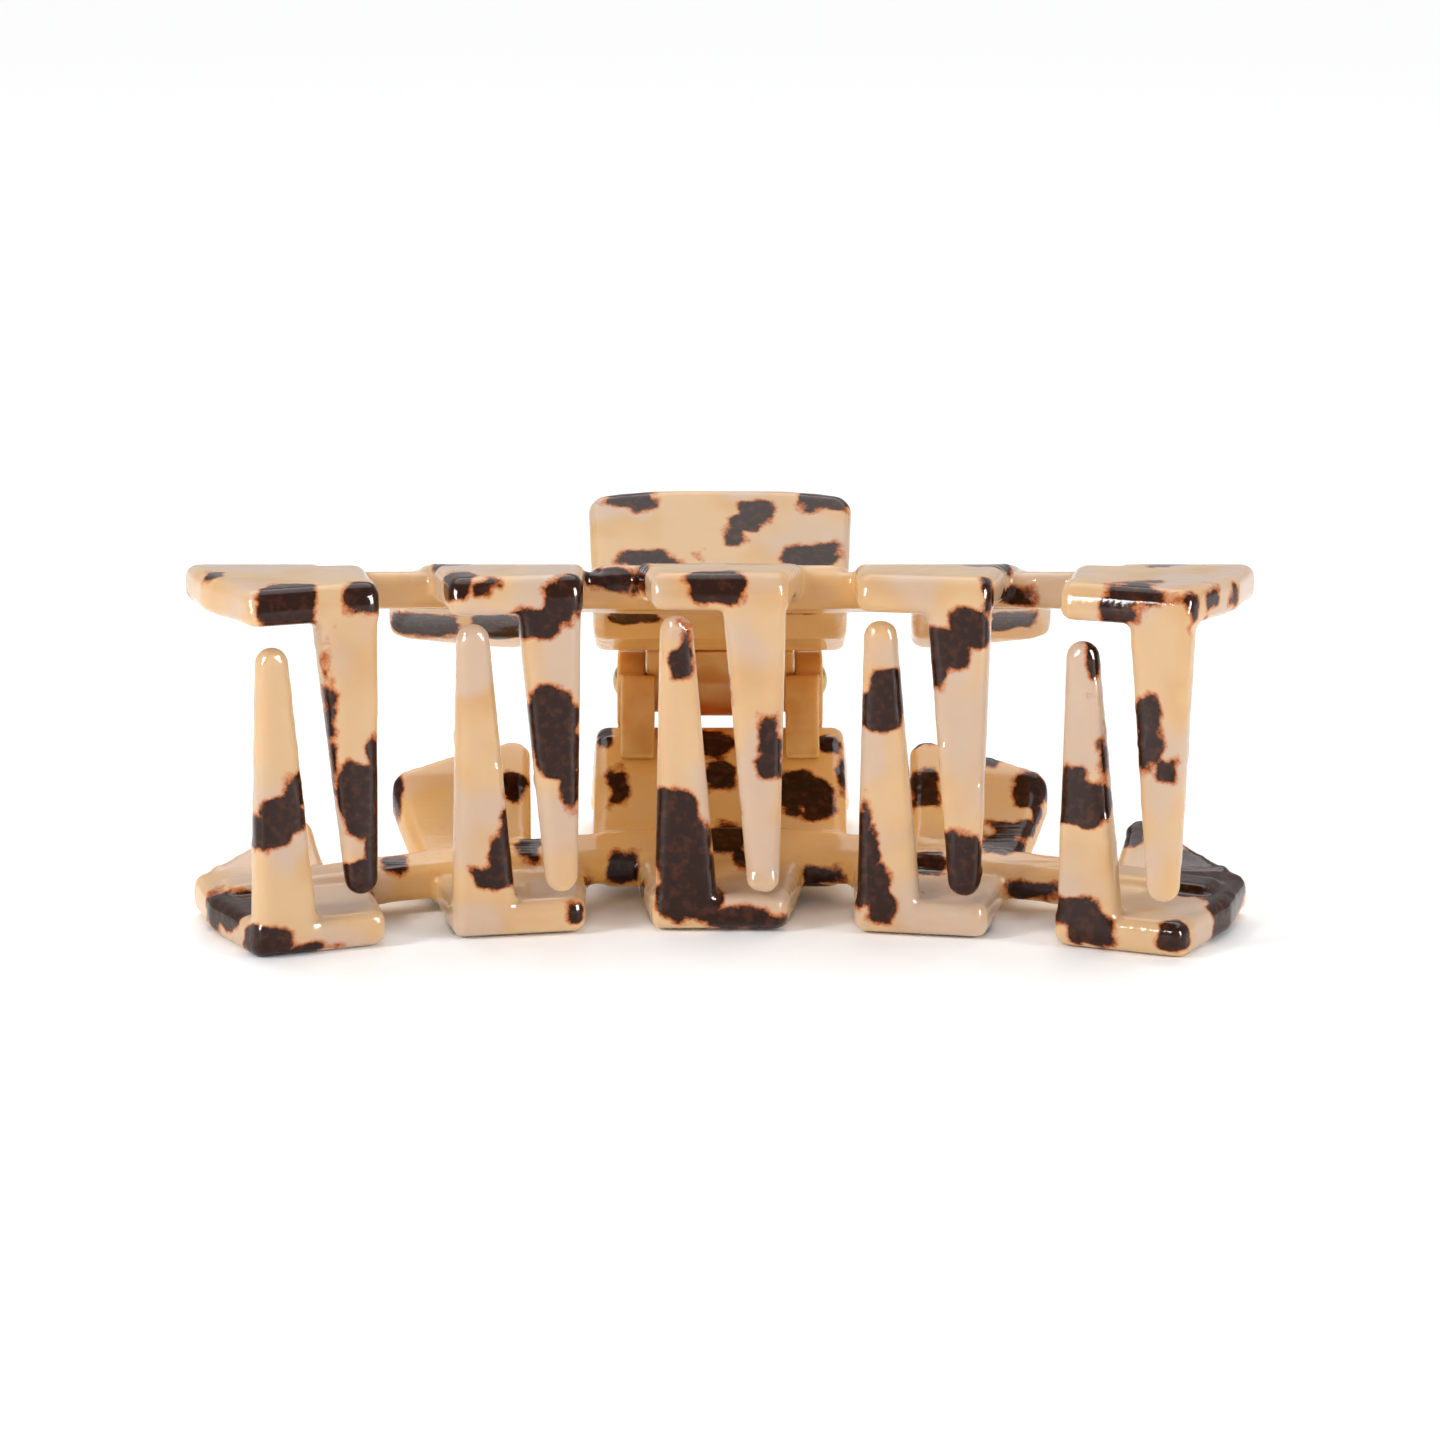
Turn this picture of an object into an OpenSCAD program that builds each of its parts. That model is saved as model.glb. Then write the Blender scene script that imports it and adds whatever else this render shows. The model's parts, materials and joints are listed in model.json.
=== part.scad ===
// Large claw hair clip: two equal jaws, each cut from one curved sheet of acetate, hinged at the back.
// Every jaw is drawn once, in a frame of its own: x along the clip, y from the teeth (0) back to the
// handle, w outward from the plane midway between the two jaws. The lower jaw is the same piece
// turned half a turn about y. The object then stands on the table plane z = 0.

/* [Jaw sheet] */
// Radius of the outer face of the curved sheet, seen from the side
sheet_r = 32; // [31:0.5:34]
// Thickness of the sheet
sheet_t = 3.8; // [3.6:0.1:4.1]
// Depth at which the curve of the sheet starts to fall away
crown_y = 4; // [3:0.5:5]
// Distance of the outer face from the middle plane at the crown
crown_w = 18.55; // [18.3:0.05:18.7]
// Distance of the table from the middle plane
rest_w = 18.8; // [18.75:0.05:18.9]

/* [Ribs] */
// Radius of the arc that carries the rib fronts
fan_r = 109.64; // [105:0.5:115]
// Angle between neighbouring ribs
fan_step = 10.7; // [10.4:0.1:11]
// Half the width of a rib at its front edge
rib_front = 6.7; // [6.2:0.1:7]
// Half the width of a rib where the bar crosses it
rib_mid = 8.7; // [8.2:0.1:9]

/* [Bar] */
// Distance of the bar behind the rib fronts
bar_y = 11.5; // [10.5:0.5:12.5]
// Front-to-back width of the bar
bar_d = 5; // [4:0.5:6]
// Height by which the bar stands proud of the ribs, on the inner side
bar_proud = 0.8; // [0.5:0.1:0.9]

/* [Teeth] */
// Width of a tooth at its root
tooth_root = 6.5; // [6:0.1:7]
// Width of a tooth at its tip
tooth_tip = 3.4; // [3:0.1:4]
// Reach of the middle tooth past the middle plane
tooth_reach = 14.5; // [13.5:0.1:14.5]
// Front-to-back depth of a tooth at its root
tooth_depth = 3.8; // [3.4:0.1:4]

/* [Handle] */
// Half the width of the handle plate at its tip
handle_half = 14.8; // [14:0.1:15.5]
// Slope of the handle plate from the middle plane, in degrees
handle_slope = 34.5; // [34:0.1:36]
// Length of the handle plate
handle_len = 22.3; // [22:0.1:22.6]
// Thickness of the handle plate
handle_t = 3.1; // [2.8:0.1:3.3]

/* [Hinge] */
// Depth of the pin axis behind the front of the middle rib
pin_y = 35.9; // [35.6:0.1:36.2]
// Radius of the hinge pin
pin_r = 1.1; // [0.9:0.05:1.2]
// Radius of the round eye of every ear
eye_r = 3.5; // [3.2:0.1:3.6]
// Outer radius of the cover in front of the spring
cover_r = 4; // [3.8:0.1:4.2]
// Thickness of the spring wire
wire_d = 1.0; // [0.8:0.1:1.1]

/* [Hidden] */
$fn = 96;

// sheet, seen from the side
sheet_c = crown_w - sheet_r;          // height of the centre of the curve
inner_r = sheet_r - sheet_t;
front_rise = 0.03;                    // slope of the flat front of the sheet
front_round = 2.2;                    // rounding of the outer front edge of every rib
front_y = -14;                        // well in front of the foremost corner
bend_y = 23;                          // the curve ends here and the sheet runs flatter
knee = [32.2, 4.3];                   // inner bend between sheet and handle plate
valley = [31.0, 8.3];                 // outer bend on the other face
before_knee = [29.2, 4.75];           // inner face just before the knee, a little softened
far = 60;                             // longer than half the clip

// ribs, counted from -2 to 2 along the fan
last_rib = 2;
rib_back_y = 34;
rib_neck_in = [0, 3.2, 5.2];          // half widths just behind the bar, towards the middle
rib_back_in = [0, 6.1, 7.2];          // half widths at rib_back_y, towards the middle
rib_back_out = [0, 11.4, 7.4];        // half widths at rib_back_y, away from the middle
rib_mid_out = [0, 7.2, 8.7];          // half width at the bar, on the side away from the middle
rib_lead = 6;                         // length that is cut off to leave square front corners
trim_y = [0, -37.3, -30.1];           // centres of the curves that trim the back edges
trim_r = [0, 70.5, 66.8];             // radius of those curves
back_round = [0, 2, 1.6];             // rounding of the back corners
neck_half = 13.5;                     // half width of the middle rib behind the bar
neck_y = 12;                          // its front corners are hidden in the bar
knee_round = 1.6;                     // rounding of the neck at the knee
tip_round = 2.4;                      // rounding of the handle's corners
handle_full_y = 40;                   // the handle has its full width from here
tip_arch_r = 62;                      // the handle's tip is a shallow arc
bar_overrun = 3;                      // degrees by which the bar runs into the end ribs

// teeth
tip_drop = 0.0009;                    // the outer teeth are shorter, by the square of their place
tooth_lean = 0.5;                     // the tips stand this far in front of the ribs
tooth_tip_depth = 2.5;
tooth_side = 0.6;                     // taper of the outer side of a tooth
tooth_root_w = 16;                    // the root is buried in the sheet

// hinge
ear_out = 11.2;                       // outer faces of the lower ears
ear_mid = 8.1;                        // inner faces of the lower ears
foot_out = 10.7;                      // outer face of the foot in front of the eye
leg_in = 7.05;                        // the foot of a lower ear is wider than its eye
side_gap = 0.1;                       // side play between the ears of the two jaws
cover_half = 5;
cover_t = 0.7;
cover_end = 112;                      // the cover is a shield from this angle to its opposite
running_fit = 0.05;
cap_r = 1.65;
cap_h = 0.55;
coil_r = 2.3;                         // middle radius of the spring's coil
coil_half = 4.4;
leg_x = 3.9;
leg_len = 12.5;
leg_angle = handle_slope + 11.5;      // the legs close in on the handle plates

// where the middle plane frame lies in the object's own frame
front_corner = fan_r * (cos(last_rib * fan_step) - 1) - rib_front * sin(last_rib * fan_step);
handle_back = knee[0] + handle_len * cos(handle_slope);
mid_y = (front_corner + handle_back) / 2;

acetate = "burlywood";
plain_acetate = "peru";

module place() { translate([0, -mid_y, rest_w]) children(); }
module lower() { rotate([0, 180, 0]) children(); }
module fan(i) { translate([0, -fan_r]) rotate(-i * fan_step) translate([0, fan_r]) children(); }
module along_x(from, to) { translate([from, 0, 0]) rotate([90, 0, 90]) linear_extrude(to - from) children(); }
module fan_3d(i) {
    translate([0, -fan_r, 0]) rotate([0, 0, -i * fan_step]) translate([0, fan_r, 0]) children();
}
module soften(r) { offset(r = r) offset(delta = -r) children(); }

function curve_w(r, y) = sheet_c + sqrt(r * r - (y - crown_y) * (y - crown_y));

// ring of the curved sheet between two radii, from the crown to the bend, in (y, w)
module curve_band(outer, inner) {
    intersection() {
        difference() {
            translate([crown_y, sheet_c]) circle(outer);
            translate([crown_y, sheet_c]) circle(inner);
        }
        translate([crown_y, 0]) square([bend_y - crown_y, far]);
    }
}

// flat front of the sheet, in (y, w)
module front_band(outer, inner) {
    rise = front_rise * (crown_y - front_y);
    polygon([[crown_y, sheet_c + inner], [crown_y, sheet_c + outer],
             [front_y, sheet_c + outer + rise], [front_y, sheet_c + inner + rise]]);
}

// back of the sheet with the handle plate, in (y, w)
module back_band() {
    along = [cos(handle_slope), sin(handle_slope)];
    across = [-sin(handle_slope), cos(handle_slope)];
    tip = knee + handle_len * along;
    polygon([[bend_y, curve_w(inner_r, bend_y)], before_knee, knee, tip,
             tip + handle_t * across, valley, [bend_y, curve_w(sheet_r, bend_y)]]);
}

module sheet_profile() {
    curve_band(sheet_r, inner_r);
    front_band(sheet_r, inner_r);
    back_band();
}

// half the width of a rib in front of the bar
function rib_half(y, mid) = rib_front + (mid - rib_front) * y / bar_y;

// outline of a side rib from above, before its front is cut off square
module rib_outline(i) {
    k = abs(i);
    turn_y = bar_y + bar_d / 2;
    mirror([i < 0 ? 1 : 0, 0])
        polygon([[-rib_half(-rib_lead, rib_mid), -rib_lead], [rib_half(-rib_lead, rib_mid_out[k]), -rib_lead],
                 [rib_mid_out[k], bar_y], [rib_back_out[k], rib_back_y], [-rib_back_in[k], rib_back_y],
                 [-rib_neck_in[k], turn_y], [-rib_half(turn_y, rib_mid), turn_y]]);
}

module ribs_outline() {
    for (i = [-last_rib : last_rib])
        if (i != 0)
            intersection() {
                soften(back_round[abs(i)]) intersection() {
                    fan(i) rib_outline(i);
                    translate([0, trim_y[abs(i)]]) circle(trim_r[abs(i)]);
                }
                fan(i) translate([-far, 0]) square(2 * far);
            }
    polygon([[-rib_front, 0], [rib_front, 0], [rib_mid, bar_y], [rib_mid, bar_y + bar_d],
             [-rib_mid, bar_y + bar_d], [-rib_mid, bar_y]]);
}

module handle_outline() {
    soften(tip_round) intersection() {
        polygon([[-neck_half, neck_y], [neck_half, neck_y], [neck_half, knee[0]],
                 [handle_half, handle_full_y], [handle_half, far], [-handle_half, far],
                 [-handle_half, handle_full_y], [-neck_half, knee[0]]]);
        translate([0, handle_back - tip_arch_r]) circle(tip_arch_r);
    }
}

// the same plate seen from the teeth, in (x, w); its tip is a little arched
module handle_front_outline() {
    arch_r = 147;
    arch_top = rest_w + 0.1;
    foot = neck_half + 1;
    tip = handle_half + 0.1;
    intersection() {
        soften(knee_round) polygon([[-neck_half, knee[1]], [neck_half, knee[1]], [handle_half, rest_w],
                                    [handle_half, far], [-handle_half, far], [-handle_half, rest_w]]);
        soften(tip_round) intersection() {
            polygon([[-foot, 0], [foot, 0], [tip, arch_top], [-tip, arch_top]]);
            translate([0, arch_top - arch_r]) circle(arch_r, $fn = 360);
        }
    }
}

// the bar follows the fan and carries all the ribs
module bar() {
    reach = last_rib * fan_step + bar_overrun;
    intersection() {
        translate([0, -fan_r, 0]) rotate([0, 0, 90 - reach])
            rotate_extrude(angle = 2 * reach) translate([fan_r + bar_y, 0]) square([bar_d, far]);
        along_x(-far, far) {
            curve_band(sheet_r - bar_proud, inner_r - bar_proud);
            front_band(sheet_r - bar_proud, inner_r - bar_proud);
        }
    }
}

// a long tapered tooth, standing on the right side of its rib and reaching to the other jaw
module tooth(i) {
    x = fan_r * sin(i * fan_step);
    end_w = -tooth_reach + tip_drop * x * x;
    below = end_w - 1;
    half = tooth_tip / 2;
    mid = rib_front - tooth_side - half;
    intersection() {
        rotate([90, 0, 0]) linear_extrude(far, center = true) {
            polygon([[rib_front - tooth_root, tooth_root_w], [rib_front, tooth_root_w],
                     [mid + half, end_w + half], [mid - half, end_w + half]]);
            translate([mid, end_w + half]) circle(half);
        }
        along_x(-far, far)
            polygon([[0, tooth_root_w], [tooth_depth, tooth_root_w],
                     [tooth_tip_depth - tooth_lean, below], [-tooth_lean, below]]);
    }
}

// rounding of the outer front edge of a rib, as the piece that is cut away
module front_edge_waste(i) {
    y = fan_r * (cos(i * fan_step) - 1);
    top = sheet_c + sheet_r + front_rise * (crown_y - y);
    along_x(-rib_mid, rib_mid) difference() {
        translate([-front_round, top - front_round]) square(2 * front_round);
        translate([front_round, top - front_round]) circle(front_round);
    }
}

module rib_sheets() {
    intersection() {
        linear_extrude(far) ribs_outline();
        along_x(-far, far) sheet_profile();
    }
}

// middle rib behind the bar, with the handle plate
module handle_sheet() {
    intersection() {
        linear_extrude(far) handle_outline();
        along_x(-far, far) sheet_profile();
        rotate([90, 0, 0]) linear_extrude(2 * far, center = true)
            handle_front_outline();
    }
}

module jaw() {
    intersection() {
        difference() {
            union() {
                rib_sheets();
                handle_sheet();
                bar();
                for (i = [-last_rib : last_rib]) fan_3d(i) tooth(i);
            }
            for (i = [-last_rib : last_rib]) fan_3d(i) front_edge_waste(i);
        }
        translate([-far, -far, -far]) cube([2 * far, 2 * far, far + rest_w]);
    }
}

module eye(hole) {
    difference() {
        union() {
            translate([pin_y, 0]) circle(eye_r);
            children();
        }
        translate([pin_y, 0]) circle(hole);
    }
}

// lower ears: an eye on a broad foot that is bonded to the inner face of the sheet
module lower_ear_shape() {
    foot = [[31, -1.5], [33.2, -1.5], [39.2, 1.2], [38.3, 11.5], [33, 7.8], [23.5, 7.8]];
    step_y = pin_y - eye_r - 0.5;     // the foot in front of this is wider
    difference() {
        union() {
            along_x(ear_mid, ear_out) eye(pin_r) intersection() {
                polygon(foot);
                translate([step_y, -far]) square(2 * far);
            }
            along_x(leg_in, foot_out) intersection() {
                polygon(foot);
                translate([0, -far]) square([step_y, 2 * far]);
            }
        }
        along_x(0, far) sheet_profile();
    }
}

// upper ears: they turn on the pin between the lower ears
module upper_ear_shape() {
    leg = [[32.6, 1], [39.2, 1.2], [38.3, 11.5], [33, 8.5], [30.2, 7.5], [30.2, 4.3], [31.4, 2.6]];
    difference() {
        along_x(cover_half, ear_mid - side_gap) eye(pin_r + running_fit) polygon(leg);
        along_x(0, far) sheet_profile();
    }
}

module spring_cover_shape() {
    edge = [pin_y, 0] + cover_r * [cos(cover_end), sin(cover_end)];
    past = 9;                         // farther than the cover reaches from the pin
    difference() {
        along_x(-cover_half, cover_half) difference() {
            union() {
                intersection() {
                    translate([pin_y, 0]) circle(cover_r);
                    polygon([[pin_y, 0], [pin_y, 0] + past * [cos(cover_end), sin(cover_end)],
                             [pin_y - past, past], [pin_y - past, -past],
                             [pin_y, 0] + past * [cos(cover_end), -sin(cover_end)]]);
                }
                polygon([edge, [33, 6.5], [29, 6], [29, 4.7], [31.95, 0.6]]);
            }
            translate([pin_y, 0]) circle(cover_r - cover_t);
        }
        along_x(-far, far) sheet_profile();
    }
}

module hinge_pin_shape() {
    translate([-ear_out, pin_y, 0]) rotate([0, 90, 0]) cylinder(h = 2 * ear_out, r = pin_r);
}

// low dome on the end of the pin, drawn for the right end
module pin_cap_shape() {
    dome_r = (cap_r * cap_r + cap_h * cap_h) / (2 * cap_h);
    translate([ear_out, pin_y, 0]) rotate([0, 90, 0]) intersection() {
        cylinder(h = cap_h, r = cap_r);
        translate([0, 0, cap_h - dome_r]) sphere(dome_r);
    }
}

module spring_leg(side) {
    start = [pin_y, 0] + coil_r * [cos(leg_angle + 90), sin(leg_angle + 90)];
    translate([side * leg_x, start[0], side * start[1]])
        rotate([side * leg_angle, 0, 0]) rotate([-90, 0, 0]) cylinder(h = leg_len, r = wire_d / 2);
}

module torsion_spring_shape() {
    translate([0, pin_y, 0]) rotate([0, 90, 0]) difference() {
        cylinder(h = 2 * coil_half, r = coil_r + wire_d / 2, center = true);
        cylinder(h = far, r = coil_r - wire_d / 2, center = true);
    }
    for (side = [-1, 1]) spring_leg(side);
}

module lower_jaw() { color(acetate) place() lower() jaw(); }
module upper_jaw() { color(acetate) place() jaw(); }
module lower_left_ear() { color(plain_acetate) place() lower() lower_ear_shape(); }
module lower_right_ear() { color(plain_acetate) place() lower() mirror([1, 0, 0]) lower_ear_shape(); }
module upper_left_ear() { color(plain_acetate) place() mirror([1, 0, 0]) upper_ear_shape(); }
module upper_right_ear() { color(plain_acetate) place() upper_ear_shape(); }
module spring_cover() { color(plain_acetate) place() spring_cover_shape(); }
module hinge_pin() { color("silver") place() hinge_pin_shape(); }
module pin_cap_left() { color("goldenrod") place() mirror([1, 0, 0]) pin_cap_shape(); }
module pin_cap_right() { color("goldenrod") place() pin_cap_shape(); }
module torsion_spring() { color("silver") place() torsion_spring_shape(); }

lower_jaw();
upper_jaw();
lower_left_ear();
lower_right_ear();
upper_left_ear();
upper_right_ear();
spring_cover();
hinge_pin();
pin_cap_left();
pin_cap_right();
torsion_spring();
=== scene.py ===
import json
import math
import random

import bmesh
import bpy
import numpy as np
import openvdb as vdb
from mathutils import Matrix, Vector


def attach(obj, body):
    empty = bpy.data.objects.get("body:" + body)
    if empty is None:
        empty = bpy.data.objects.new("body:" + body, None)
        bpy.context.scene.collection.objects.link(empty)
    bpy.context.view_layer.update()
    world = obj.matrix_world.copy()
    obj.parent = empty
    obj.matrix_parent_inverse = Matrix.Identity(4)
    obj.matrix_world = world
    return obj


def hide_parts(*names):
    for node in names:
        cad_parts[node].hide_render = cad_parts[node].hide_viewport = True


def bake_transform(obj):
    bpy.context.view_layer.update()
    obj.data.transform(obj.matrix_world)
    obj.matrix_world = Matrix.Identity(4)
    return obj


MM = 0.001
JAWS = {"lower": "lower_jaw", "upper": "upper_jaw"}
JOINT = "jaw_hinge"

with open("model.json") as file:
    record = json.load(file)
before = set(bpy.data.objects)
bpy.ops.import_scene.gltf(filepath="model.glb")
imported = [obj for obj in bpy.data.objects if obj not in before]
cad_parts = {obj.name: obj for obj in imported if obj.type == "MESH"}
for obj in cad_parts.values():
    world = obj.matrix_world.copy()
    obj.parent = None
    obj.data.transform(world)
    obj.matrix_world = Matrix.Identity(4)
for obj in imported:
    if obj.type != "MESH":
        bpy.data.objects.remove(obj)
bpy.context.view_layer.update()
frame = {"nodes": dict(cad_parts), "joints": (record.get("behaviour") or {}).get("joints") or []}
hinge = Vector(next(j["pos_m"] for j in frame["joints"] if j["name"] == JOINT))


# ---------------------------------------------------------------- solids with soft edges

SPARE_VOXELS = 3        # how much further than it is needed a distance field is known


def cad_arrays(node):
    """Vertices in mm and triangles of a CAD node."""
    mesh = frame["nodes"][node].data
    mesh.calc_loop_triangles()
    points = np.empty(len(mesh.vertices) * 3, np.float32)
    mesh.vertices.foreach_get("co", points)
    triangles = np.empty(len(mesh.loop_triangles) * 3, np.int32)
    mesh.loop_triangles.foreach_get("vertices", triangles)
    return points.reshape(-1, 3) / MM, triangles.reshape(-1, 3)


def level_set(points, voxel, reach, **faces):
    """Distance field around a closed surface of triangles or quads, known as far as reach on both sides."""
    return vdb.FloatGrid.createLevelSetFromPolygons(
        np.ascontiguousarray(points, np.float32),
        transform=vdb.createLinearTransform(voxel),
        halfWidth=reach / voxel + SPARE_VOXELS,
        **{kind: np.ascontiguousarray(corners, np.uint32) for kind, corners in faces.items()},
    )


def polished(node, edge, corner, voxel):
    """Points in mm and quads of a CAD node whose edges are rounded and whose inner corners are filled."""
    points, triangles = cad_arrays(node)
    grid = level_set(points, voxel, edge, triangles=triangles)
    points, quads = grid.convertToQuads(-edge)
    grid = level_set(points, voxel, edge + corner, quads=quads)
    points, quads = grid.convertToQuads(edge + corner)
    grid = level_set(points, voxel, corner, quads=quads)
    return grid.convertToQuads(-corner)


def smooth_object(mesh):
    """Shades a mesh smooth and puts it in the scene as an object of its own name."""
    mesh.polygons.foreach_set("use_smooth", [True] * len(mesh.polygons))
    obj = bpy.data.objects.new(mesh.name, mesh)
    bpy.context.scene.collection.objects.link(obj)
    return obj


def solid_object(name, points_mm, faces):
    """Object made of a closed surface, with its normals outwards."""
    mesh = bpy.data.meshes.new(name)
    mesh.from_pydata((np.asarray(points_mm, float) * MM).tolist(), [], np.asarray(faces).tolist())
    work = bmesh.new()
    work.from_mesh(mesh)
    bmesh.ops.recalc_face_normals(work, faces=work.faces)
    work.to_mesh(mesh)
    work.free()
    return smooth_object(mesh)


# ---------------------------------------------------------------- where the blotches are

SQUARENESS = 3.2        # 2 would make every blotch an ellipsoid, more makes it boxier
NO_BLOTCH = 20.0        # mm, the distance to the outline that stands for "no blotch near"


def blotch_field(points, spots):
    """Distance in mm of every point to the nearest blotch's outline, less than 0 inside.
    A spot is a centre and three half widths, in mm in the row frame."""
    field = np.full(len(points), NO_BLOTCH)
    for spot in spots:
        centre, half = np.array(spot[:3], float), np.array(spot[3:], float)
        away = points - centre
        share = (np.abs(away / half) ** SQUARENESS).sum(1) ** (1 / SQUARENESS)
        field = np.minimum(field, (share - 1) * half.min())
    return field


# ---------------------------------------------------------------- materials

AO_SAMPLES = 6
AO_OPEN = 0.85          # from here up, a place counts as open to the light
AO_CLOSED = 0.3         # from here down, it counts as fully sheltered


def new_material(name):
    """A material and its main shader."""
    material = bpy.data.materials.new(name)
    material.use_nodes = True
    return material, material.node_tree.nodes["Principled BSDF"]


class Graph:
    """Short names for the few shader nodes that the materials use."""

    def __init__(self, tree):
        self.tree = tree
        self.place = tree.nodes.new("ShaderNodeTexCoord").outputs["Object"]

    def link(self, socket, value):
        """Feeds a socket from another socket, or sets it to a plain value."""
        if isinstance(value, bpy.types.NodeSocket):
            self.tree.links.new(value, socket)
        else:
            socket.default_value = value

    def noise(self, size_mm, detail=2.0, roughness=0.5, stretch=1):
        """Noise whose features are about size_mm wide, and stretch times longer along X, from 0 to 1."""
        node = self.tree.nodes.new("ShaderNodeTexNoise")
        node.inputs["Scale"].default_value = 1 / (size_mm * MM)
        node.inputs["Detail"].default_value = detail
        node.inputs["Roughness"].default_value = roughness
        longer = self.tree.nodes.new("ShaderNodeMapping")
        longer.inputs["Scale"].default_value = (1 / stretch, 1, 1)
        self.link(longer.inputs["Vector"], self.place)
        self.link(node.inputs["Vector"], longer.outputs["Vector"])
        return node.outputs["Fac"]

    def math(self, operation, a, b=0.0, c=0.0):
        node = self.tree.nodes.new("ShaderNodeMath")
        node.operation = operation
        for socket, value in zip(node.inputs, (a, b, c)):
            self.link(socket, value)
        return node.outputs[0]

    def ramp(self, value, low, high, start=0.0, end=1.0):
        """Smooth step from start at low to end at high."""
        node = self.tree.nodes.new("ShaderNodeMapRange")
        node.interpolation_type = "SMOOTHSTEP"
        for socket, number in zip(list(node.inputs)[:5], (value, low, high, start, end)):
            self.link(socket, number)
        return node.outputs[0]

    def mix(self, share, a, b):
        """Colour a where share is 0, and colour b where it is 1."""
        node = self.tree.nodes.new("ShaderNodeMix")
        node.data_type = "RGBA"
        colours = [s for s in node.inputs if s.type == "RGBA"]
        self.link(node.inputs[0], share)
        self.link(colours[0], a)
        self.link(colours[1], b)
        return next(s for s in node.outputs if s.type == "RGBA")

    def behind(self, y_mm, over_mm):
        """0 in front of y_mm, and 1 from over_mm behind it."""
        apart = self.tree.nodes.new("ShaderNodeSeparateXYZ")
        self.link(apart.inputs[0], self.place)
        return self.ramp(apart.outputs["Y"], y_mm * MM, (y_mm + over_mm) * MM)

    def shelter(self, reach_mm):
        """0 where the surface is open to the light, up to 1 where its neighbours stand close around it."""
        node = self.tree.nodes.new("ShaderNodeAmbientOcclusion")
        node.samples = AO_SAMPLES
        node.inputs["Distance"].default_value = reach_mm * MM
        return self.ramp(node.outputs["AO"], AO_OPEN, AO_CLOSED)

    def bump(self, height, depth_mm, shader):
        node = self.tree.nodes.new("ShaderNodeBump")
        node.inputs["Distance"].default_value = depth_mm * MM
        self.link(node.inputs["Height"], height)
        self.link(shader.inputs["Normal"], node.outputs["Normal"])


def srgb(r, g, b):
    """Colour from 0..255 values, as the shader wants it."""
    def linear(v):
        v /= 255
        return v / 12.92 if v <= 0.04045 else ((v + 0.055) / 1.055) ** 2.4
    return (linear(r), linear(g), linear(b), 1.0)


# Tortoiseshell acetate
CREAM = srgb(205, 172, 132)
HONEY = srgb(198, 156, 106)
MILKY = srgb(194, 171, 152)
# Painted light: the glow of light coming through the acetate, painted on its sheltered inner faces
PAINTED_GLOW = srgb(250, 192, 92)
FRINGE = srgb(176, 94, 36)
UMBER = srgb(42, 18, 8)
BROWN = srgb(70, 34, 18)
# Plain acetate
CARAMEL = srgb(230, 184, 118)
DEEP_CARAMEL = srgb(214, 160, 92)
# Painted shade, where the clip closes round the plain pieces: for the ears, then for the spring cover
EARS_PAINTED_SHADE = srgb(214, 150, 70)
COVER_PAINTED_SHADE = srgb(196, 92, 18)
# Metals
BRASS = srgb(205, 170, 105)
STEEL = srgb(190, 190, 188)

# How far the light goes into acetate, and how it leaves the surface
ACETATE_IOR = 1.48
ACETATE_SPECULAR = 0.22
ACETATE_ROUGHNESS = (0.04, 0.1)
SCATTER = 0.6
SCATTER_RADIUS = (1.0, 0.7, 0.45)
SCATTER_MM = 2.0
WAVE_DEPTH = 0.06       # mm
RIPPLES = 0.12          # share of the small waves in the surface
DRAWN = 0.5             # share of the lines that drawing out the hot sheet leaves along its bars

# Where the tortoiseshell's painted glow and drawn lines begin: the Y where a change begins and the distance
# over which it grows, in mm
INNER_Y = (-17, 8)      # the lips and teeth are in front of this
BARS_FRONT_Y = (-16, 4)
BARS_BACK_Y = (-3, 4)

PAINTED_GLOW_REACH = 30      # mm, for the painted glow of light through the acetate on the tortoiseshell's inner faces
PAINTED_GLOW_SHARE = 0.8
PAINTED_SHADE_REACH = 10        # mm, for the painted shade of the plain pieces around the hinge
PAINTED_SHADE_SHARE = 0.95
MILKY_SHARE = 0.85
# The noise that makes a blotch's outline ragged: size and depth in mm, and detail
RAGGED = ((3.2, 2.1, 1), (1.2, 0.7, 1), (0.3, 0.4, 2))
FRINGE_FROM_TO = (0.46, 0.02)       # mm outside the outline, where the fringe begins and where it is full
BLOTCH_FROM_TO = (0.16, -0.1)       # the same for the dark inside

METAL_DARKER = 0.7
METAL_ROUGHER = 0.12
METAL_DEPTH = 0.01      # mm


def acetate(name, base_of, drawn=0.0):
    """Polished acetate: light goes some way into it, and the surface is clear and glossy."""
    material, shader = new_material(name)
    graph = Graph(material.node_tree)
    graph.link(shader.inputs["Base Color"], base_of(graph))
    shader.inputs["IOR"].default_value = ACETATE_IOR
    shader.inputs["Specular IOR Level"].default_value = ACETATE_SPECULAR
    shader.inputs["Subsurface Weight"].default_value = SCATTER
    shader.inputs["Subsurface Radius"].default_value = SCATTER_RADIUS
    shader.inputs["Subsurface Scale"].default_value = SCATTER_MM * MM
    scuffs = graph.noise(1.4, 3)
    graph.link(shader.inputs["Roughness"], graph.ramp(scuffs, 0.35, 0.75, *ACETATE_ROUGHNESS))
    waves = graph.math("ADD", graph.noise(3.2, 1), graph.math("MULTIPLY", graph.noise(0.5, 2), RIPPLES))
    if drawn:
        bars = graph.math("SUBTRACT", graph.behind(*BARS_FRONT_Y), graph.behind(*BARS_BACK_Y))
        lines = graph.math("MULTIPLY", graph.noise(0.45, 2, stretch=30), bars)
        waves = graph.math("MULTIPLY_ADD", lines, drawn, waves)
    graph.bump(waves, WAVE_DEPTH, shader)
    return material


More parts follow.
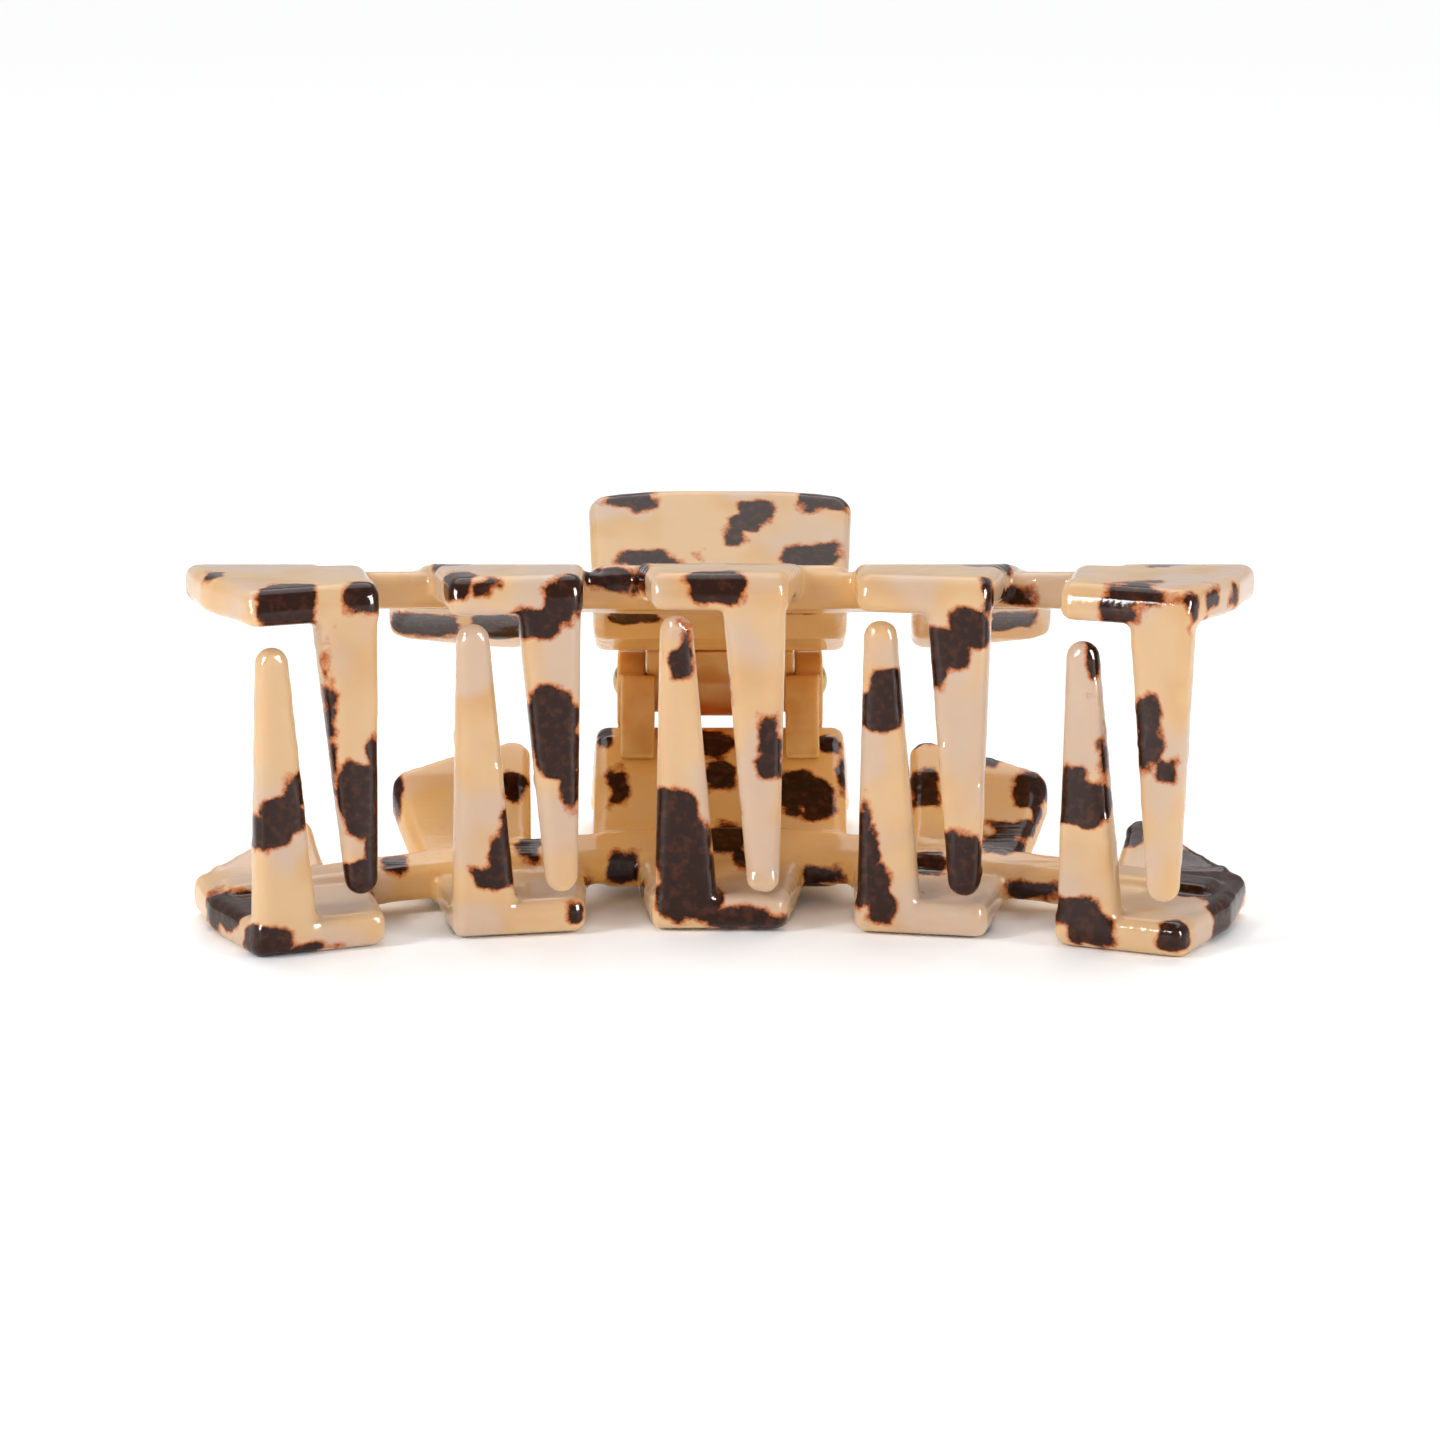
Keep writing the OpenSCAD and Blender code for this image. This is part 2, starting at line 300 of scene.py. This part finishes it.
def plain_base(sheltered):
    """Plain caramel, with a deeper painted shade where the clip closes round it."""
    def base_of(graph):
        cloud = graph.noise(3.5, 2)
        base = graph.mix(graph.ramp(cloud, 0.3, 0.7), CARAMEL, DEEP_CARAMEL)
        # painted shade: deeper colour where neighbouring parts stand close
        return graph.mix(graph.math("MULTIPLY", graph.shelter(PAINTED_SHADE_REACH), PAINTED_SHADE_SHARE), base, sheltered)
    return base_of


def tortoise_base(graph):
    """Cream and honey clouds with umber blotches, which have a ragged rust-brown fringe."""
    attribute = graph.tree.nodes.new("ShaderNodeAttribute")
    attribute.attribute_name = "blotch"
    edge = attribute.outputs["Fac"]
    for size, depth, detail in RAGGED:
        ragged = graph.math("SUBTRACT", graph.noise(size, detail, 0.6), 0.5)
        edge = graph.math("MULTIPLY_ADD", ragged, depth, edge)
    clouds = graph.ramp(graph.noise(9.0, 2), 0.35, 0.7)
    base = graph.mix(clouds, CREAM, HONEY)
    milk = graph.ramp(graph.noise(9.5, 1), 0.42, 0.6)
    base = graph.mix(graph.math("MULTIPLY", milk, MILKY_SHARE), base, MILKY)
    # painted light: behind the lips, sheltered inner faces get the painted glow of light coming through the
    # acetate
    inner = graph.math("MULTIPLY", graph.shelter(PAINTED_GLOW_REACH), graph.behind(*INNER_Y))
    base = graph.mix(graph.math("MULTIPLY", inner, PAINTED_GLOW_SHARE), base, PAINTED_GLOW)
    stained = graph.mix(graph.ramp(edge, *FRINGE_FROM_TO), base, FRINGE)
    inside = graph.mix(graph.ramp(graph.noise(0.9, 3), 0.45, 0.75), UMBER, BROWN)
    return graph.mix(graph.ramp(edge, *BLOTCH_FROM_TO), stained, inside)


def metal(name, colour, roughness, grain_mm):
    """Metal whose tint and roughness vary a little with its grain."""
    material, shader = new_material(name)
    graph = Graph(material.node_tree)
    shader.inputs["Metallic"].default_value = 1.0
    tint = graph.ramp(graph.noise(grain_mm, 3), 0.3, 0.7)
    darker = tuple(METAL_DARKER * c for c in colour[:3]) + (1.0,)
    graph.link(shader.inputs["Base Color"], graph.mix(tint, colour, darker))
    wear = graph.noise(grain_mm / 3, 2)
    rough = graph.ramp(wear, 0.3, 0.7, roughness, roughness + METAL_ROUGHER)
    graph.link(shader.inputs["Roughness"], rough)
    graph.bump(graph.noise(grain_mm / 4, 2), METAL_DEPTH, shader)
    return material


tortoise = acetate("tortoise_acetate", tortoise_base, drawn=DRAWN)
# Plain caramel with painted shade, light for the ears and deep orange for the spring cover
caramel = acetate("caramel_acetate", plain_base(EARS_PAINTED_SHADE))
cover_caramel_deep_shade = acetate("cover_caramel_deep_shade_acetate", plain_base(COVER_PAINTED_SHADE))
brass = metal("brass", BRASS, roughness=0.18, grain_mm=1.2)
steel = metal("spring_steel", STEEL, roughness=0.22, grain_mm=0.9)


# ---------------------------------------------------------------- jaws

# Blotches that go through the sheet where the clip is seen from the teeth: centre and half widths, in mm
SPOTS = {
    "upper": [
        # left end rib and its tooth
        (-51, -20, 37, 0.8, 1.5, 1), (-42.8, -28, 36.4, 2.6, 3, 3), (-35.5, -25.5, 36.8, 1.9, 1.8, 1.9),
        (-39, -26.5, 24, 0.6, 1, 5), (-36, -26.5, 16.5, 2.2, 3, 3.2), (-34.5, -26, 20, 1, 2, 1.8),
        (-36.5, -26.5, 13.5, 1.2, 2, 2), (-34.5, -26, 11, 1.1, 2, 4), (-36, -26.5, 7.5, 2, 2, 2),
        # second rib
        (-26.4, -21, 37, 1.6, 3, 1.6), (-24, -22.3, 36.5, 1, 0.8, 0.6), (-18, -21.5, 32.8, 2.1, 2, 1.5),
        (-16.2, -21.3, 34.6, 1.6, 2, 2.2), (-14.8, -21, 36, 1.6, 2, 1.6), (-17, -21.5, 23, 2.4, 2.4, 3),
        (-16.5, -21.5, 19.5, 2.2, 2.4, 2.4), (-15, -21.5, 15.8, 1, 2, 2.6), (-31, 0, 28, 3.4, 3, 2),
        (-23.5, 0.5, 28, 2.8, 3, 2), (-12, -9, 35, 2.6, 2, 1),
        # middle rib and its neck
        (-8.5, -12, 36, 1, 3, 1.8), (-0.5, -20, 36.3, 2.7, 2.2, 1.8), (5.1, -20.5, 20.5, 1.2, 2, 2),
        (5.3, -20.5, 18, 1.4, 2, 1.6), (-9, -2.5, 29, 2.6, 2.5, 1.5), (9, -4, 30, 2.5, 1.5, 1.5),
        (1.5, -20, 9, 0.5, 1.2, 2.5),
        # handle
        (-10, 26.5, 37, 2.5, 1.6, 1.2), (3.9, 24.6, 35.9, 2, 2, 1.6), (2.4, 23.2, 35, 2, 1.4, 1.3),
        (1.7, 21.6, 33.9, 1.2, 1.8, 1.4), (11.5, 26.5, 37, 2.2, 1.6, 1.2), (-8, 18.4, 32, 2.7, 1.3, 1),
        (10, 18.8, 32.2, 2.7, 1.6, 1.4),
        # fourth rib
        (24.8, -22.8, 32.6, 2, 2.4, 1.8), (22.6, -22.6, 30.4, 2.2, 2.4, 2.2),
        (21.6, -22.5, 28, 1.1, 2, 1.6), (27, -22.5, 35.8, 0.7, 1.6, 1.9), (30, -14, 33.8, 2, 2, 0.9),
        (30.5, -1, 29, 2.4, 3, 1.4), (24.3, -23.4, 8, 2.4, 2.6, 3.4),
        # right end rib
        (41, -27, 37.4, 2.7, 2.6, 1), (39.6, -27.8, 35.2, 1.8, 2, 1.4), (42.2, -29, 24.8, 1.1, 1.6, 2),
        (42.6, -29, 21.6, 1.3, 1.6, 2), (44.2, -29.7, 19.6, 1, 1.4, 1.1), (46.8, -29.3, 35.6, 0.6, 0.8, 1.5),
        (49, -25.5, 36.4, 1, 1.5, 0.9), (51.6, -21.5, 36, 0.5, 1, 1.4),
    ],
    "lower": [
        # left end rib and its tooth
        (-45, -29.8, 13, 2, 2.6, 1.8), (-43.6, -29.4, 15, 2, 2.6, 1.9), (-42, -28.9, 17.2, 1.4, 2.4, 1.7),
        (-49.5, -22.5, 3.6, 2.6, 4, 1.8), (-45.8, -29.6, 1.2, 2.6, 2.6, 2.4), (-41, -29, 0, 3, 2, 0.8),
        (-52, -22, 2.4, 1, 6, 2),
        # second rib and the bar on both sides of it
        (-34, -12, 5.2, 1.3, 1.6, 1.3), (-22, 1.2, 10.5, 1.1, 1.8, 1.5), (-34.8, 0, 9.5, 0.6, 2.4, 2.6),
        (-23, -22.8, 6.6, 1.9, 1.8, 1.2), (-22, -22.5, 8.8, 1.3, 1.8, 1.8), (-21.5, -22.3, 11.5, 0.6, 1.5, 2),
        (-20, -8, 6.3, 1.1, 2.4, 2.4), (-14.8, -21, 2.3, 0.8, 1, 1), (-14, -12, 2.8, 1.6, 1.5, 0.7),
        (-10.2, -9, 4.2, 1.7, 1.6, 1.6), (-7.6, -12, 2.4, 0.9, 1.2, 0.8),
        # middle rib with the knee and the neck behind it
        (-3.5, -20.7, 30.2, 0.5, 1.8, 1.6), (-4, -20.7, 28.4, 0.9, 1.8, 1.3), (-4.6, -20.4, 13, 2.6, 2.6, 2.4),
        (-4, -20.4, 9.5, 3, 2.6, 3.5), (-3, -20.4, 5, 3.4, 2.6, 3.6), (2, -20.3, 1.6, 3, 2.2, 1.4),
        (5.5, -20.3, 1, 2.4, 2.2, 0.9), (-11, 1, 10.4, 1.1, 2.2, 2.2), (-12.6, 9.8, 13.9, 0.6, 1.4, 1.4),
        (-1, 7.5, 13.4, 2.2, 2.4, 1.5), (0, 2.6, 11.6, 1.8, 2, 1.6), (1, -6.5, 7, 2, 3.2, 1.6),
        (2.2, -10, 6, 1.1, 2, 1.4), (8.2, 0.6, 10.2, 2.2, 2.8, 2.4), (10.4, 0, 9.6, 2, 3, 2),
        (11.7, 7.5, 13.5, 1.1, 1.6, 1.5), (13.2, 3, 11.5, 0.8, 2.4, 2), (10.8, -9, 3.2, 1.8, 1.2, 0.8),
        # fourth rib and the bar on both sides of it
        (17, -21.8, 26, 2, 2.4, 1.9), (16.2, -21.8, 23.8, 2.4, 2.4, 1.9), (15.4, -21.3, 5.4, 2, 2.4, 2.6),
        (16.4, -21.6, 3.4, 1.6, 2.4, 1.6), (14.8, -21.2, 9, 1.4, 2, 2.4), (14.4, -21, 12, 0.6, 1.4, 1.6),
        (21.8, 1.2, 10.5, 1.5, 2.4, 2), (20, -1, 9.4, 1, 1.5, 1), (33, 0.8, 10.1, 1.8, 2.2, 1.9),
        (34.2, -2, 9, 1, 2, 1.6), (31, -4.3, 7, 2.6, 1.6, 1), (31.5, -7.1, 5.7, 3.8, 1.7, 0.9),
        (32.5, -13, 2.8, 2.1, 1.5, 0.9), (22, -10.5, 5.2, 1.6, 1.8, 1.4), (28.8, 5, 12, 1, 1, 1),
        # right end rib and its tooth
        (37.3, -26.7, 30.4, 0.5, 1.2, 1.7), (35.4, -26.4, 17.4, 1.4, 2, 1.9), (36, -26.5, 15, 2.6, 2.4, 1.7),
        (37.6, -26.6, 15.6, 1.6, 2.2, 1.6), (38.3, -26.7, 19.5, 0.5, 1, 1.9), (35.6, -26.2, 4, 2.2, 2.6, 1.5),
        (37.4, -27, 2, 2.4, 2.6, 1.8), (45.6, -29.8, 3, 1.6, 1.6, 1.6), (51, -13, 4.2, 4.4, 8, 2.6),
        (52, -20.5, 2.2, 2.4, 4.5, 2.4), (48.4, -15.6, 4.2, 1.6, 3, 1), (43.2, -4.4, 6.7, 1.6, 2, 1.5),
    ],
}
SEEN_FROM = Vector((0, -440, 120))      # the side that the spots above are on, in mm
SEEN_FACING = 0.15      # a face counts as seen when it is turned at least this much towards that side
SEEN_EVERY = 12         # every so many seen points are enough to keep off

# A jaw's outer top is seen at a low angle and has few spots above, so it gets made-up ones too
TOP_FACING = 0.8
OUTER_TOP_Z = 30
OUTER_TOP_Y = -14

# Made-up blotches, in mm
HIDDEN_TRIES = 4000
HIDDEN_SPACING = 7.2
HIDDEN_R = (1.5, 4.2)
HIDDEN_SMALL = 1.5      # more makes the large ones rarer
HIDDEN_RISE = 0.4       # how far a centre is outside the face, in radii
HIDDEN_CLEAR = 1.35     # how far it stays from what is seen, in radii
LOBES = (1, 4)
LOBE_SIZE = (0.5, 0.9)  # in radii of the blotch that the lobe is on

# Rounding of outer edges, rounding of inner corners and fineness, in mm
JAW_POLISH = (1.0, 0.3, 0.25)
PLAIN_POLISH = (0.3, 0.15, 0.1)
COVER_POLISH = (0.2, 0.15, 0.1)


def seen_points(points, normals):
    """Some of the points on the side that SPOTS describes."""
    towards = np.array(SEEN_FROM) - points
    facing = (normals * towards).sum(1) / np.linalg.norm(towards, axis=1)
    outer_top = (normals[:, 2] > TOP_FACING) & (points[:, 2] > OUTER_TOP_Z) & (points[:, 1] > OUTER_TOP_Y)
    return points[(facing > SEEN_FACING) & ~outer_top][::SEEN_EVERY]


def lobes_of(centre, radius, normal, rng):
    """Smaller spheres around a blotch's centre, in the plane of its face."""
    lobes = []
    for _ in range(rng.randint(*LOBES)):
        part = radius * rng.uniform(*LOBE_SIZE)
        turn = Vector([rng.uniform(-1, 1) for _ in range(3)])
        flat = (turn - turn.dot(normal) * normal).normalized()
        lobes.append((*(centre + np.array(flat) * radius), part, part, part))
    return lobes


def hidden_spots(points, normals, spots, seed):
    """More blotches for the outer faces and the backs, where the photograph doesn't show them."""
    rng = random.Random(seed)
    kept = [np.array(s[:3]) for s in spots]
    seen = seen_points(points, normals)
    smallest, largest = HIDDEN_R
    more = []
    for k in rng.sample(range(len(points)), HIDDEN_TRIES):
        place, normal = Vector(points[k]), Vector(normals[k])
        radius = smallest + (largest - smallest) * rng.random() ** HIDDEN_SMALL
        centre = np.array(place + HIDDEN_RISE * radius * normal)
        if np.linalg.norm(seen - centre, axis=1).min() < HIDDEN_CLEAR * radius:
            continue
        if min(np.linalg.norm(c - centre) for c in kept) < HIDDEN_SPACING:
            continue
        kept.append(centre)
        more.append((*centre, radius, radius, radius))
        more += lobes_of(centre, radius, normal, rng)
    return more


def jaw(body):
    """The drawn jaw of one body, with the distance to its blotches on every point."""
    node = JAWS[body]
    points, quads = polished(node, *JAW_POLISH)
    piece = solid_object(f"{body}_jaw_acetate", points, quads)
    normals = np.empty(len(points) * 3, np.float32)
    piece.data.vertices.foreach_get("normal", normals)
    points = np.asarray(points, float)
    spots = SPOTS[body] + hidden_spots(points, normals.reshape(-1, 3), SPOTS[body], seed=len(SPOTS[body]))
    attribute = piece.data.attributes.new("blotch", "FLOAT", "POINT")
    attribute.data.foreach_set("value", blotch_field(points, spots))
    piece.data.materials.append(tortoise)
    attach(piece, body)
    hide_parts(node)


def plain_piece(node, body, material, polish=PLAIN_POLISH):
    """The drawn version of an ear or of the spring cover."""
    points, quads = polished(node, *polish)
    piece = solid_object(f"{node}_acetate", points, quads)
    piece.data.materials.append(material)
    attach(piece, body)
    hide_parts(node)


# ---------------------------------------------------------------- spring and pin

WIRE_R = 0.5
WIRE_SIDES = 14
WIRE_ENDS = ((-0.85, 0.45), (-0.5, 0.85))       # rings past an end: place and radius, in wire radii
COIL_R = 2.3
COIL_STEPS = 26         # points a turn
LEG_X = 3.9
LEG_LEN = 12.5
LEG_STEPS = 10
LEG_ANGLE = math.radians(46)
TURNS = 8

BEVEL = 0.12            # mm
BEVEL_SEGMENTS = 3


def spring_route():
    """Centreline of the wire in mm, around the hinge axis: a leg, the coil, and the other leg."""
    def ring(angle, x):
        return Vector((x, -COIL_R * math.sin(angle), COIL_R * math.cos(angle)))

    along = {side: Vector((0, math.cos(LEG_ANGLE), side * math.sin(LEG_ANGLE))) for side in (-1, 1)}
    start_angle = math.pi - LEG_ANGLE
    end_angle = LEG_ANGLE + 2 * math.pi * TURNS
    steps = COIL_STEPS * TURNS
    coil = []
    for k in range(steps + 1):
        t = k / steps
        coil.append(ring(start_angle + (end_angle - start_angle) * t, -LEG_X + 2 * LEG_X * t))
    first = coil[0] + LEG_LEN * along[-1]
    last = coil[-1] + LEG_LEN * along[1]
    lead_in = [first.lerp(coil[0], k / LEG_STEPS) for k in range(LEG_STEPS)]
    lead_out = [coil[-1].lerp(last, (k + 1) / LEG_STEPS) for k in range(LEG_STEPS)]
    return lead_in + coil + lead_out


def route_frames(route):
    """Centre, tangent and two directions across at every point of a route, carried along without twisting."""
    last = len(route) - 1
    tangents = [(route[min(k + 1, last)] - route[max(k - 1, 0)]).normalized() for k in range(len(route))]
    normal = tangents[0].orthogonal().normalized()
    frames = []
    for k, centre in enumerate(route):
        if k:
            normal = tangents[k - 1].rotation_difference(tangents[k]) @ normal
        frames.append((centre, tangents[k], normal.copy(), tangents[k].cross(normal)))
    return frames


def wire_ring(centre, normal, side, radius):
    """One ring of points around the wire."""
    turns = [2 * math.pi * m / WIRE_SIDES for m in range(WIRE_SIDES)]
    return [centre + radius * (math.cos(a) * normal + math.sin(a) * side) for a in turns]


def wire_rings(route, radius):
    """Rings along a route, with smaller ones past its two ends, which round them."""
    frames = route_frames(route)
    centre, tangent, normal, side = frames[0]
    rings = [wire_ring(centre + tangent * radius * along, normal, side, radius * share)
             for along, share in WIRE_ENDS]
    rings += [wire_ring(centre, normal, side, radius) for centre, _, normal, side in frames]
    centre, tangent, normal, side = frames[-1]
    rings += [wire_ring(centre - tangent * radius * along, normal, side, radius * share)
              for along, share in reversed(WIRE_ENDS)]
    return rings


def wire_faces(ring_count):
    """Quads between neighbouring rings, and a flat face on each end."""
    starts = [k * WIRE_SIDES for k in range(ring_count)]
    faces = []
    for a, b in zip(starts, starts[1:]):
        for m in range(WIRE_SIDES):
            n = (m + 1) % WIRE_SIDES
            faces.append((a + m, a + n, b + n, b + m))
    faces.append(tuple(range(WIRE_SIDES))[::-1])
    faces.append(tuple(starts[-1] + m for m in range(WIRE_SIDES)))
    return faces


def wire_object(name, route, radius):
    """Tube along a route around the hinge, with rounded ends."""
    rings = wire_rings(route, radius)
    mesh = bpy.data.meshes.new(name)
    mesh.from_pydata([tuple(p * MM + hinge) for ring in rings for p in ring], [], wire_faces(len(rings)))
    return smooth_object(mesh)


def torsion_spring():
    wire = wire_object("spring_wire", spring_route(), WIRE_R)
    wire.data.materials.append(steel)
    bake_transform(wire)
    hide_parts("torsion_spring")


def keep_cad(node, material):
    """A CAD piece that is drawn as it is, with its edges broken."""
    obj = frame["nodes"][node]
    obj.data.materials.clear()
    obj.data.materials.append(material)
    bevel = obj.modifiers.new("edges", "BEVEL")
    bevel.width = BEVEL * MM
    bevel.segments = BEVEL_SEGMENTS
    bevel.limit_method = "ANGLE"


# ---------------------------------------------------------------- studio

FLOOR_HALF = 5          # m
PAPER = (0.955, 0.957, 0.962, 1)
PAPER_ROUGHNESS = 0.7
WORLD_STRENGTH = 0.55
LIGHTS_AIM = Vector((0, 0, 0.015))

# Name, place and size in m, power in W, and whether the light only shows as a highlight
LAMPS = (
    ("key", (-0.5, -0.32, 0.42), (0.12, 0.24), 2.0, False),
    ("fill", (0.55, -0.3, 0.3), (0.1, 0.24), 1.0, False),
    ("left_glint", (-0.5, -0.5, 0.26), (0.24, 0.5), 24, True),
    ("right_glint", (0.56, -0.42, 0.26), (0.24, 0.5), 24, True),
)
CEILING_STRENGTH = 1.6
CEILING_ANGLE = math.radians(55)        # how large the light looks: wide, for soft shadows
CEILING_TILT = math.radians(-28)

CAMERA_DISTANCE = 0.45134       # m
CAMERA_TILT = math.radians(13.05)
CAMERA_AIM = Vector((0, -0.00829, 0.0188))
SENSOR_MM = 36
LENS_MM = 108.3
CAMERA_SHIFT_Y = 0.0066


def paper_floor():
    half = FLOOR_HALF
    corners = [(-half, -half, 0), (half, -half, 0), (half, half, 0), (-half, half, 0)]
    mesh = bpy.data.meshes.new("floor")
    mesh.from_pydata(corners, [], [(0, 1, 2, 3)])
    floor = bpy.data.objects.new("floor", mesh)
    bpy.context.scene.collection.objects.link(floor)
    material, shader = new_material("paper")
    shader.inputs["Base Color"].default_value = PAPER
    shader.inputs["Roughness"].default_value = PAPER_ROUGHNESS
    mesh.materials.append(material)


def white_world():
    world = bpy.data.worlds.new("studio")
    world.use_nodes = True
    background = world.node_tree.nodes["Background"]
    background.inputs["Color"].default_value = (1, 1, 1, 1)
    background.inputs["Strength"].default_value = WORLD_STRENGTH
    bpy.context.scene.world = world


def area_lamp(name, place, size, power, gloss_only):
    """A rectangular lamp that is turned to the clip."""
    lamp = bpy.data.lights.new(name, "AREA")
    lamp.shape = "RECTANGLE"
    lamp.size, lamp.size_y = size
    lamp.energy = power
    obj = bpy.data.objects.new(name, lamp)
    obj.location = place
    obj.rotation_euler = (LIGHTS_AIM - Vector(place)).to_track_quat("-Z", "Y").to_euler()
    obj.visible_diffuse = not gloss_only
    bpy.context.scene.collection.objects.link(obj)


def ceiling_light():
    ceiling = bpy.data.lights.new("ceiling", "SUN")
    ceiling.energy = CEILING_STRENGTH
    ceiling.angle = CEILING_ANGLE
    obj = bpy.data.objects.new("ceiling", ceiling)
    obj.rotation_euler = (CEILING_TILT, 0, 0)
    bpy.context.scene.collection.objects.link(obj)


def studio():
    paper_floor()
    white_world()
    for lamp in LAMPS:
        area_lamp(*lamp)
    ceiling_light()
    bpy.context.scene.view_settings.view_transform = "Standard"


def camera():
    """A long lens, looking a little down on the teeth."""
    lens = bpy.data.cameras.new("camera")
    lens.sensor_width = SENSOR_MM
    lens.lens = LENS_MM
    lens.shift_y = CAMERA_SHIFT_Y
    obj = bpy.data.objects.new("camera", lens)
    backwards = Vector((0, -math.cos(CAMERA_TILT), math.sin(CAMERA_TILT)))
    obj.location = CAMERA_AIM + CAMERA_DISTANCE * backwards
    obj.rotation_euler = (math.pi / 2 - CAMERA_TILT, 0, 0)
    bpy.context.scene.collection.objects.link(obj)
    bpy.context.scene.camera = obj


for body in JAWS:
    jaw(body)
for node in ("lower_left_ear", "lower_right_ear"):
    plain_piece(node, "lower", caramel)
for node in ("upper_left_ear", "upper_right_ear"):
    plain_piece(node, "upper", caramel)
plain_piece("spring_cover", "upper", cover_caramel_deep_shade, COVER_POLISH)
torsion_spring()
keep_cad("hinge_pin", steel)
keep_cad("pin_cap_left", brass)
keep_cad("pin_cap_right", brass)
studio()
camera()
